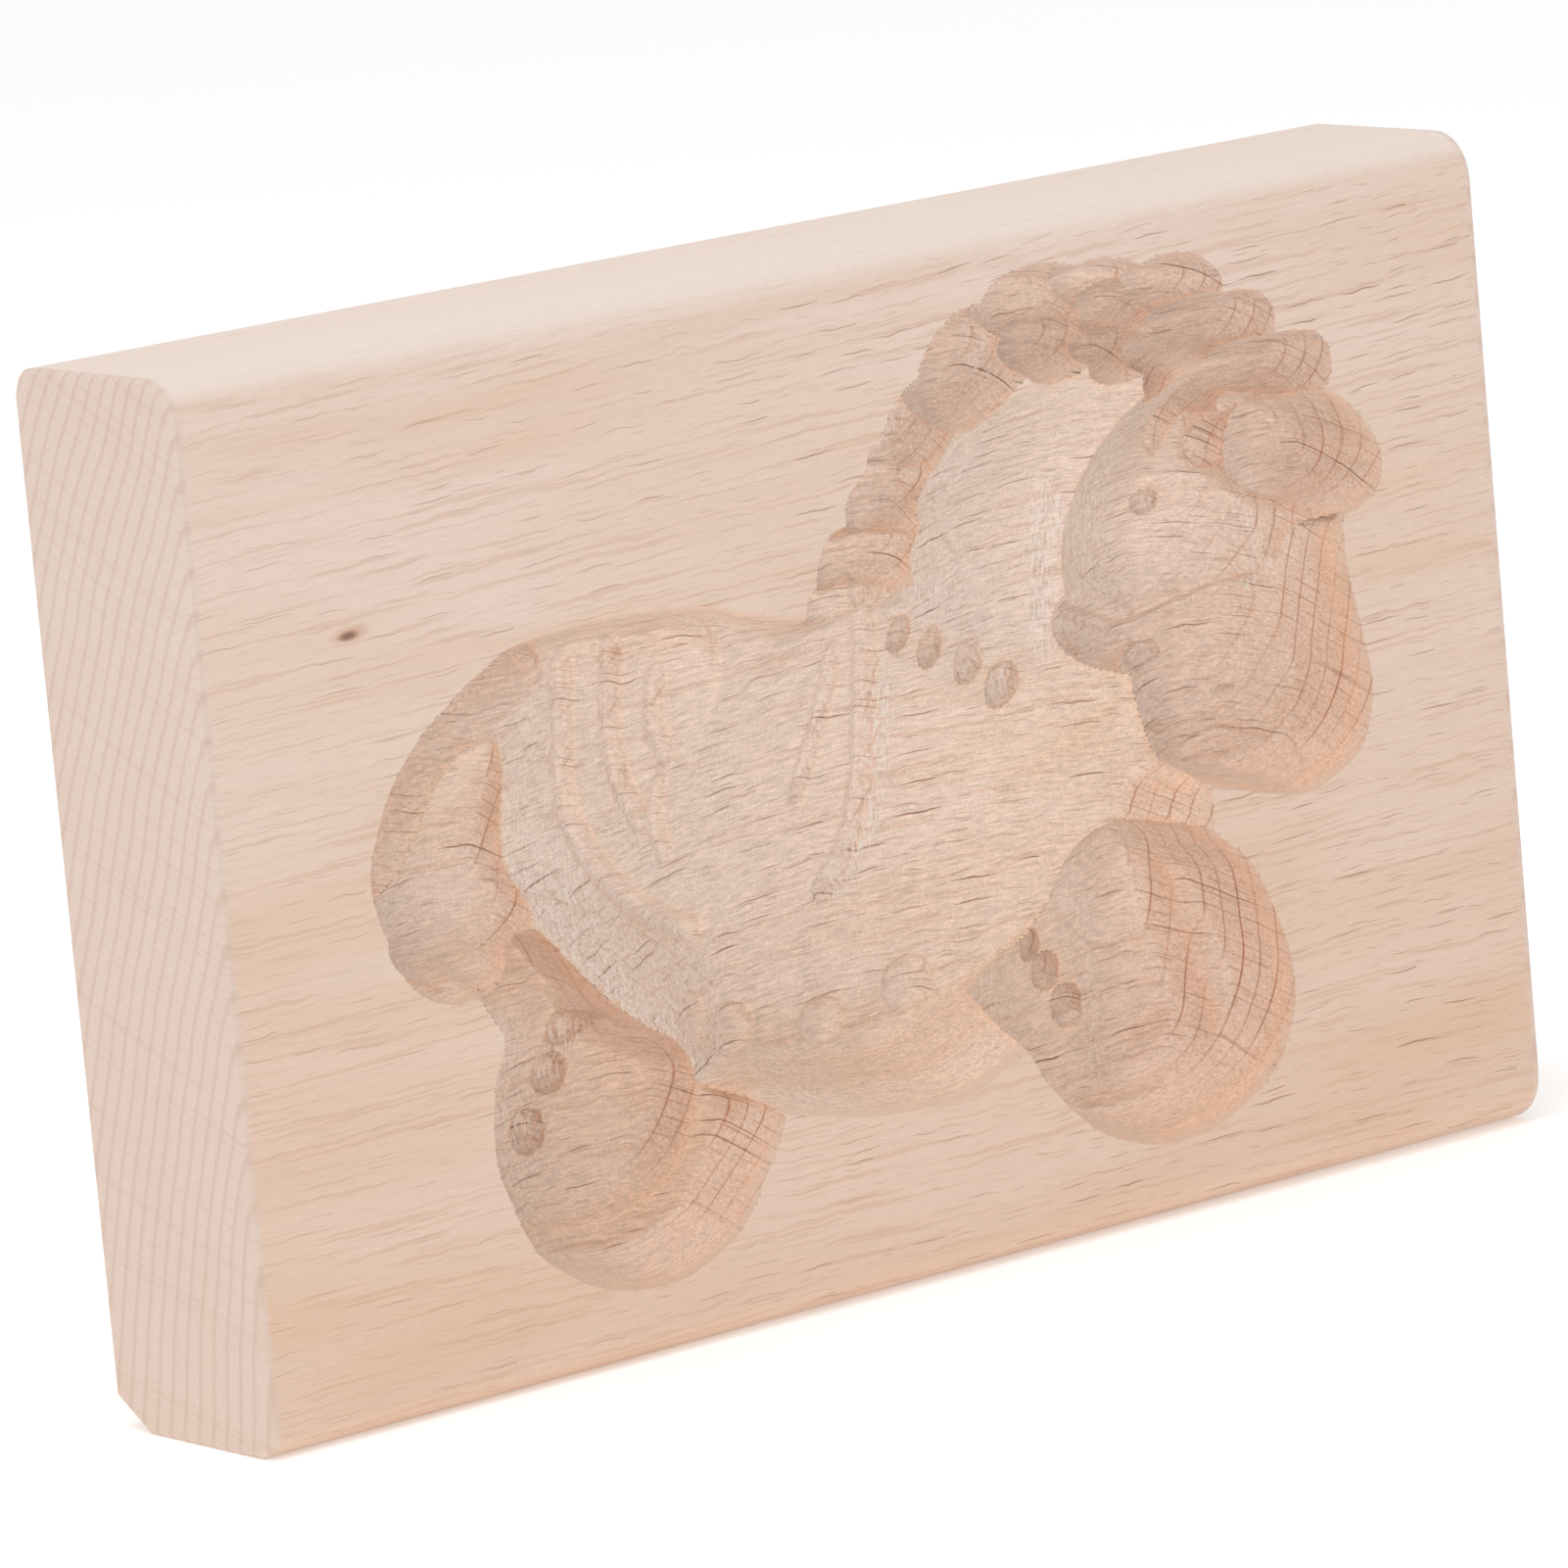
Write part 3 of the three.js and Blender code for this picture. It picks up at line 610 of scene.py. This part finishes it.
# %% Pits, each a row of x, z, half length, half width, turn, depth of the rim and depth below it
PITS = [
    (-31.8, 28.8, 2.2, 2.1, 0, 9.5, 2.3), (-33.2, 25, 2.3, 2.1, 0, 10.8, 2.3),
    (-36.1, 20.3, 2.3, 2.2, 0, 10.9, 2.3),
    (22.9, 26, 1.3, 1.6, 0, 10.9, 1.6), (24.8, 23.2, 1.7, 1.9, 0, 11.2, 1.8),
    (27.1, 19.5, 2.1, 2.1, 0, 11.2, 1.9),
    (7.5, 58.2, 1.9, 1.5, 70, 6.8, 1.6), (11.8, 56.1, 2, 1.5, 70, 7.9, 1.6),
    (16.7, 54, 2.2, 1.7, 60, 8.5, 1.6), (20.5, 51.2, 2.4, 1.8, 50, 8.8, 1.6),
    (43.1, 64.1, 1.6, 1.3, 0, 13.7, 0.8), (50.2, 45.1, 1.1, 0.5, 10, 12.9, 0.6)]
# Grooves: half width, depth and the line that the tool follows.
GROOVES = {
    "girth": (1.5, 1.0, [(1.5, 63.9), (3.4, 57.9), (4.2, 52.2), (4.6, 46.5), (4, 42),
                          (2.5, 38.4), (0, 35.5)]),
    "blanket edge": (1.2, 0.8, [(-0.3, 58.1), (-0.5, 54.9), (-1, 51.3), (-1.9, 48.2),
                                 (-3.1, 45.2)]),
    "outer rump": (1.6, 0.9, [(-32, 62.4), (-32.4, 57.2), (-32.7, 51.9), (-31.3, 47.1),
                              (-27, 41.9), (-22.3, 37.9), (-16.4, 35)]),
    "middle rump": (1.4, 0.9, [(-25.9, 63.5), (-26.5, 59.6), (-26.6, 55.2), (-25.5, 50.5),
                               (-22.6, 46.3)]),
    "inner rump": (1.3, 0.8, [(-21.3, 59.6), (-21.6, 55.6), (-19.9, 52.1)]),
    "lowest rump": (1.2, 0.7, [(-20.7, 49.5), (-20.8, 45.9), (-19.5, 42.9)]),
    "cheek strap": (0.8, 0.6, [(30.1, 56.4), (34.5, 54.6), (39.7, 52.9), (45.7, 54),
                               (49.4, 55.1), (52.4, 55.4)]),
    "strap end": (0.6, 0.5, [(30.2, 53.8), (31.4, 52.4), (32.7, 51.1), (33.4, 50.7)]),
    "strap curl": (0.5, 0.45, [(38.1, 50.3), (40.5, 50.9), (43.3, 50.2), (43.5, 49.2),
                               (40.8, 48.6), (38.6, 49.5)]),
    "mouth": (0.6, 0.45, [(44.8, 40.4), (47.9, 41.4), (50.3, 41.2), (52.3, 40)]),
    "brow": (0.6, 0.3, [(37, 66.4), (40.5, 66.8), (44, 66.6), (46.6, 66.4)]),
}
# Dents: x, z, half length, half width, turn and depth.
DENTS = [(-12.8, 25.2, 2.8, 2.2, 20, 0.8), (-1.8, 23.8, 2.8, 2, 10, 0.8),
         (8.5, 25.4, 3, 2.2, 20, 0.7), (-19, 27.5, 2.8, 2.2, 30, 0.7)]
# Lines along which the tool tore the fibres: half width, points.
TORN_LINES = [(1.7, [(2.6, 62.5), (5.7, 53.8), (6.2, 45.3), (5.2, 39.8), (1, 35.5)]),
              (1.1, GROOVES["blanket edge"][2]),
              (1.6, [(24.5, 70.7), (26.1, 63), (25.8, 53.8)]),
              (0.9, [(51.8, 64.4), (53.2, 61.1), (53.3, 57.9), (52.8, 54.6)]),
              (0.8, [(25.6, 74.3), (27.2, 68.4), (28.1, 62.6)]),
              (0.8, [(5.2, 72.4), (6.1, 71.1), (6.3, 69.8)]),
              (0.8, [(17.1, 85.6), (17.9, 83.2), (17.9, 80.9)]),
              (0.7, [(24.4, 87.2), (25.7, 86)]), (0.8, [(4.2, 75.4), (7, 77), (8.2, 78.4)])]


def fine_cuts(x, z):
    """What the grooves and dents add to the depth."""
    extra = np.zeros_like(x)
    for half_width, deep, path in GROOVES.values():
        gap = distance_to(smooth_line(path, 4, False), x, z) / half_width
        extra += deep * np.clip(1 - gap ** 2, 0, 1) ** 1.5
    for dent in DENTS:
        extra += np.clip(scoop_depth(dent, x, z), 0, None)
    return extra


def in_pit(x, z):
    return np.any([scoop_depth(pit[:5] + (1,), x, z) > 0 for pit in PITS], axis=0)


# %% [markdown]
# The block as a fine net.
#
# The block's end profile is drawn along X, as a moulding is. The rows that lie on the face are
# close together, so they can be pushed in to carve it. Points that lie near a ridge or a rim are
# moved onto it first, which keeps those edges as crisp as a knife leaves them.

# %% Rows and columns of the net
TOP_FRONT, TOP_BACK, BOTTOM_FRONT = 4.2, 2.6, 2.6
BOTTOM_FRONT_RIGHT = 4.7
CHAMFER_DEEP, CHAMFER_HIGH = 4.5, 2.8
EASING = 0.4
NET = 0.24
CARVED_X, CARVED_Z = (-60, 62), (5.5, 90.8)


def graded(low, high, dense, step):
    """Positions from low to high, close together within dense and wider outside it."""
    outer = lambda a, b: np.linspace(a, b, max(int(abs(b - a) / 2.5), 2) + 1)
    middle = np.linspace(dense[0], dense[1], int((dense[1] - dense[0]) / step) + 1)
    return np.concatenate([outer(low, dense[0])[:-1], middle, outer(dense[1], high)[1:]])


columns = graded(-LENGTH / 2 + EASING, LENGTH / 2 - EASING, CARVED_X, NET)
face_rows = graded(BOTTOM_FRONT, HEIGHT - TOP_FRONT, (CARVED_Z[0], HEIGHT - TOP_FRONT - 0.3), NET)
print(len(columns), "columns,", len(face_rows), "rows on the face")


# %% The end profile, starting up the face
def arc(cy, cz, radius, start, end, steps=8):
    turn_by = np.radians(np.linspace(start, end, steps + 1))
    return [(cy + radius * math.cos(a), cz + radius * math.sin(a)) for a in turn_by]


back = FACE_Y + THICKNESS
profile = [(FACE_Y, row) for row in face_rows]
profile += arc(FACE_Y + TOP_FRONT, HEIGHT - TOP_FRONT, TOP_FRONT, 180, 90)[1:]
profile += arc(back - TOP_BACK, HEIGHT - TOP_BACK, TOP_BACK, 90, 0)
profile += [(back, z) for z in np.linspace(HEIGHT - TOP_BACK, CHAMFER_HIGH, 8)[1:]]
profile += [(back - CHAMFER_DEEP, 0)]
lower_edge = len(profile)
profile += arc(FACE_Y + BOTTOM_FRONT, BOTTOM_FRONT, BOTTOM_FRONT, 270, 180)[:-1]
profile = np.array(profile)
rows = len(face_rows)

# %% Carve the face rows
x, z = np.meshgrid(columns, face_rows)
x, z = x.ravel(), z.ravel()
inside = ((x > CARVED_X[0]) & (x < CARVED_X[1]) & (z > CARVED_Z[0]))
px, pz = x[inside], z[inside]


def snap_to_ridges(px, pz, reach):
    """Moves points that lie close to a ridge or rim onto it."""
    here = layers(px, pz)
    order = np.argpartition(-here, 1, axis=0)[:2]
    pick = np.arange(len(px))
    first, second = order
    swap = here[second, pick] > here[first, pick]
    first, second = np.where(swap, second, first), np.where(swap, first, second)
    gap = here[first, pick] - here[second, pick]
    step = 0.02
    right, up = layers(px + step, pz), layers(px, pz + step)
    gx = ((right[first, pick] - right[second, pick]) - gap) / step
    gz = ((up[first, pick] - up[second, pick]) - gap) / step
    steep = np.hypot(gx, gz) + 1e-9
    away = gap / steep
    move = (away < reach) & (steep > 0.5)
    px = np.where(move, px - gx / steep * away, px)
    pz = np.where(move, pz - gz / steep * away, pz)
    return px, pz


px, pz = snap_to_ridges(px, pz, 0.45 * NET)
depth = layers(px, pz).max(axis=0)
depth += fine_cuts(px, pz) * np.clip(depth - 1, 0, 1)
x[inside], z[inside] = px, pz
y = np.full_like(x, FACE_Y)
y[inside] += depth
print("deepest cut %.1f mm" % depth.max())

# %% Where the surface is carved, where it comes to a crest, and where its fibres are torn
CREST_HEIGHT = 0.35
rows_columns = (len(face_rows), len(columns))
sunk = (y - FACE_Y).reshape(rows_columns)
carved = np.clip(sunk - 0.5, 0, 1)
around = [np.roll(sunk, (dz, dx), (0, 1)) for dz, dx in (
    (3, 0), (-3, 0), (0, 3), (0, -3), (2, 2), (2, -2), (-2, 2), (-2, -2))]
crest = np.clip((np.mean(around, axis=0) - sunk) / CREST_HEIGHT, -1, 1) * carved
slope_z, slope_x = np.gradient(sunk, NET)
faces_right = slope_x / np.sqrt(1 + slope_x ** 2 + slope_z ** 2)
# Slopes that face right count as torn, and so take the tufts' painted highlight and shadow.
torn = np.clip((faces_right - 0.06) / 0.3, 0, 1) * np.clip(1.6 - slope_x, 0, 1) * 0.8
for half_width, path in TORN_LINES:
    gap = distance_to(smooth_line(path, 4, False), x, z).reshape(rows_columns) / half_width
    torn = np.maximum(torn, np.clip(1.2 - gap ** 2, 0, 1))
pit = in_pit(x, z).reshape(rows_columns) * carved
torn = np.maximum(torn, pit) * carved
print("carved: %.0f %% of the face; torn: %.0f %%" % (100 * carved.mean(), 100 * torn.mean()))

# %% Join the net into a closed block
count = len(columns)
points = np.zeros((len(profile), count, 3))
points[:, :, 0] = columns
points[:, :, 1] = profile[:, None, 0]
points[:, :, 2] = profile[:, None, 1]
points[:rows, :, 0] = x.reshape(rows, count)
points[:rows, :, 1] = y.reshape(rows, count)
points[:rows, :, 2] = z.reshape(rows, count)

# The lower front edge is rounded more and more to the right.
radius = BOTTOM_FRONT + (BOTTOM_FRONT_RIGHT - BOTTOM_FRONT) * (columns / LENGTH + 0.5)
points[lower_edge:, :, 1] = FACE_Y + (profile[lower_edge:, :1] - FACE_Y) * radius / BOTTOM_FRONT
points[lower_edge:, :, 2] = profile[lower_edge:, 1:] * radius / BOTTOM_FRONT
lowest = face_rows < CARVED_Z[0]
points[:rows][lowest, :, 2] = radius + (face_rows[lowest, None] - BOTTOM_FRONT) * (
    CARVED_Z[0] - radius) / (CARVED_Z[0] - BOTTOM_FRONT)


def eased_end(side, outline):
    """The profile drawn in by the easing, at the sawn end itself."""
    middle = np.array([FACE_Y + THICKNESS / 2, HEIGHT / 2])
    half = np.array([THICKNESS / 2, HEIGHT / 2])
    inner = middle + (outline - middle) * (half - EASING) / half
    return np.column_stack([np.full(len(outline), side * LENGTH / 2), inner])


vertices = np.concatenate([points.reshape(-1, 3), eased_end(-1, points[:, 0, 1:]),
                           eased_end(1, points[:, -1, 1:])]) * MM
number = np.arange(len(profile) * count).reshape(len(profile), count)
below, above = number, np.roll(number, -1, axis=0)
quads = np.stack([below[:, :-1], below[:, 1:], above[:, 1:], above[:, :-1]], -1).reshape(-1, 4)
left_ring = np.arange(len(profile)) + number.size
right_ring = left_ring + len(profile)
left_band = np.stack([left_ring, below[:, 0], above[:, 0], np.roll(left_ring, -1)], -1)
right_band = np.stack([below[:, -1], right_ring, np.roll(right_ring, -1), above[:, -1]], -1)
faces = [*quads.tolist(), *left_band.tolist(), *right_band.tolist(),
         left_ring[::-1].tolist(), right_ring.tolist()]
mesh = bpy.data.meshes.new("carved board")
mesh.from_pydata(vertices.tolist(), [], faces)
mesh.update()
for name, values in {
        "carved": carved, "crest": crest, "torn": torn, "pit": pit}.items():
    per_point = np.zeros(len(vertices))
    per_point[:values.size] = values.ravel()
    mesh.attributes.new(name, "FLOAT", "POINT").data.foreach_set("value", per_point)
board = bpy.data.objects.new("carved_beech", mesh)
bpy.context.collection.objects.link(board)
print(len(mesh.polygons), "faces in the net")

# %% [markdown]
# Tool marks.
#
# A gouge leaves shallow facets side by side, and where it comes up against the grain it lifts
# short upright fibres. Both follow a rule over the whole carved surface, so a node tree presses
# them into the net: cells for the facets, a drawn-out noise for the fibres.

# %% Tool marks by Geometry Nodes
def named_input(tree, name, kind, value):
    socket = tree.interface.new_socket(name, in_out="INPUT", socket_type=kind)
    socket.default_value = value
    return socket


def tool_marks():
    tree = bpy.data.node_groups.new("tool marks", "GeometryNodeTree")
    tree.interface.new_socket("Geometry", in_out="INPUT", socket_type="NodeSocketGeometry")
    tree.interface.new_socket("Geometry", in_out="OUTPUT", socket_type="NodeSocketGeometry")
    for name, value in {"Facet size": 0.0035, "Facet depth": 0.00012, "Fibre width": 0.0004,
                        "Fibre length": 0.0014, "Fibre height": 0.0002}.items():
        named_input(tree, name, "NodeSocketFloat", value)
    tree.interface.new_socket("Wood", in_out="INPUT", socket_type="NodeSocketMaterial")
    given = add(tree, "NodeGroupInput").outputs
    m = lambda operation, *values, **more: maths(tree, operation, *values, **more)
    place = add(tree, "GeometryNodeInputPosition").outputs[0]
    normal = add(tree, "GeometryNodeInputNormal").outputs[0]
    carved = add(tree, "GeometryNodeInputNamedAttribute", {"Name": "carved"},
                 data_type="FLOAT").outputs[0]
    torn = add(tree, "GeometryNodeInputNamedAttribute", {"Name": "torn"},
               data_type="FLOAT").outputs[0]
    cells = add(tree, "ShaderNodeTexVoronoi", {
        "Vector": place, "Scale": m("DIVIDE", 1, given["Facet size"])}).outputs["Distance"]
    facet = m("MULTIPLY", m("MULTIPLY", m("POWER", cells, 2), carved), given["Facet depth"])
    size = add(tree, "ShaderNodeCombineXYZ", {
        0: given["Fibre width"], 1: given["Fibre length"], 2: given["Fibre length"]}).outputs[0]
    drawn_out = add(tree, "ShaderNodeVectorMath", {0: place, 1: size}, operation="DIVIDE")
    tuft = add(tree, "ShaderNodeTexNoise", {
        "Vector": drawn_out.outputs[0], "Scale": 1.0, "Detail": 1.0}).outputs[0]
    fibre = m("MULTIPLY", m("MULTIPLY", m("SUBTRACT", tuft, 0.5), torn), given["Fibre height"])
    push = add(tree, "ShaderNodeVectorMath", {0: normal, "Scale": m("ADD", facet, fibre)},
               operation="SCALE").outputs[0]
    moved = add(tree, "GeometryNodeSetPosition", {
        "Geometry": given["Geometry"], "Offset": push}).outputs[0]
    whole = add(tree, "GeometryNodeRealizeInstances", {0: moved}).outputs[0]
    wooden = add(tree, "GeometryNodeSetMaterial", {
        "Geometry": whole, "Material": given["Wood"]}).outputs[0]
    add(tree, "NodeGroupOutput", {0: wooden})
    return tree


def bake(thing):
    """The evaluated mesh, with the modifiers taken off."""
    bpy.context.view_layer.update()
    evaluated = thing.evaluated_get(bpy.context.evaluated_depsgraph_get())
    baked = bpy.data.meshes.new_from_object(evaluated)
    thing.modifiers.clear()
    thing.data = baked
    return baked


marks = board.modifiers.new("tool marks", "NODES")
marks.node_group = tool_marks()
sockets = {item.name: item.identifier for item in marks.node_group.interface.items_tree
           if item.in_out == "INPUT"}
marks[sockets["Wood"]] = beech
mesh = bake(board)
print(len(mesh.vertices), "points pressed with tool marks")

# %% Thin the net where it is flat
PIECE_FACES = 185000
thin = board.modifiers.new("thin", "DECIMATE")
triangles = sum(len(p.vertices) - 2 for p in mesh.polygons)
thin.ratio = min(1, PIECE_FACES / triangles)
thinned = bake(board)
thinned.shade_smooth()
thinned.set_sharp_from_angle(angle=math.radians(32))
print(len(thinned.polygons), "faces after thinning;", [a.name for a in thinned.attributes])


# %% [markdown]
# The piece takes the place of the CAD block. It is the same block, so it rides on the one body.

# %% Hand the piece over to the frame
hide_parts("carved_board")
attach(board, "root")

# %% [markdown]
# The floor and the light.
#
# The photograph is lit as in a white tent: soft light from above, and light thrown back by the
# pale table. So the sky is white all round, one wide lamp hangs above, and the floor is pale.

# %% Floor
REACH = 6.0
# The paper glows faintly. That whitens the background, and also lights the board a little from
# below. Held to camera rays by Light Path, as the sky's white is, it would leave the board alone.
PAPER_GLOW = 0.25
floor_mesh = bpy.data.meshes.new("floor")
floor_mesh.from_pydata([(-REACH, -REACH, 0), (REACH, -REACH, 0), (REACH, REACH, 0),
                        (-REACH, REACH, 0)], [], [(0, 1, 2, 3)])
floor = bpy.data.objects.new("floor", floor_mesh)
bpy.context.collection.objects.link(floor)
paper = bpy.data.materials.new("pale paper")
paper.use_nodes = True
for name, value in {"Base Color": to_linear("#ffffff"), "Roughness": 0.9,
                    "Emission Color": (1, 1, 1, 1), "Emission Strength": PAPER_GLOW}.items():
    paper.node_tree.nodes["Principled BSDF"].inputs[name].default_value = value
floor_mesh.materials.append(paper)
print("floor reaches", REACH, "m each way")

# %% Sky
AMBIENT = 0.63
world = bpy.data.worlds.new("white tent")
bpy.context.scene.world = world
world.use_nodes = True
sky = world.node_tree
sky.nodes.clear()
path = add(sky, "ShaderNodeLightPath").outputs
seen = maths(sky, "MAXIMUM", path["Is Camera Ray"],
             maths(sky, "MAXIMUM", path["Is Glossy Ray"], path["Is Transmission Ray"]))
level = maths(sky, "MULTIPLY_ADD", seen, 1 - AMBIENT, AMBIENT)
tent = add(sky, "ShaderNodeBackground", {"Color": (1, 1, 1, 1), "Strength": level})
add(sky, "ShaderNodeOutputWorld", {0: tent.outputs[0]})
print("sky lights the object at", AMBIENT, "and is seen at 1")

# %% The lamp overhead
LAMP_PLACE, LAMP_AIM = Vector((-0.35, -0.15, 1.1)), Vector((0, 0, 0.05))
LAMP_WIDTH, LAMP_WATTS = 0.9, 4.5
lamp_data = bpy.data.lights.new("overhead softbox", "AREA")
lamp_data.shape = "DISK"
lamp_data.size = LAMP_WIDTH
lamp_data.energy = LAMP_WATTS
lamp = bpy.data.objects.new("overhead softbox", lamp_data)
lamp.location = LAMP_PLACE
lamp.rotation_euler = (LAMP_AIM - LAMP_PLACE).to_track_quat("-Z", "Y").to_euler()
bpy.context.collection.objects.link(lamp)
bpy.context.scene.view_settings.view_transform = "Standard"
print("lamp", LAMP_WIDTH, "m wide, at", LAMP_WATTS, "W")
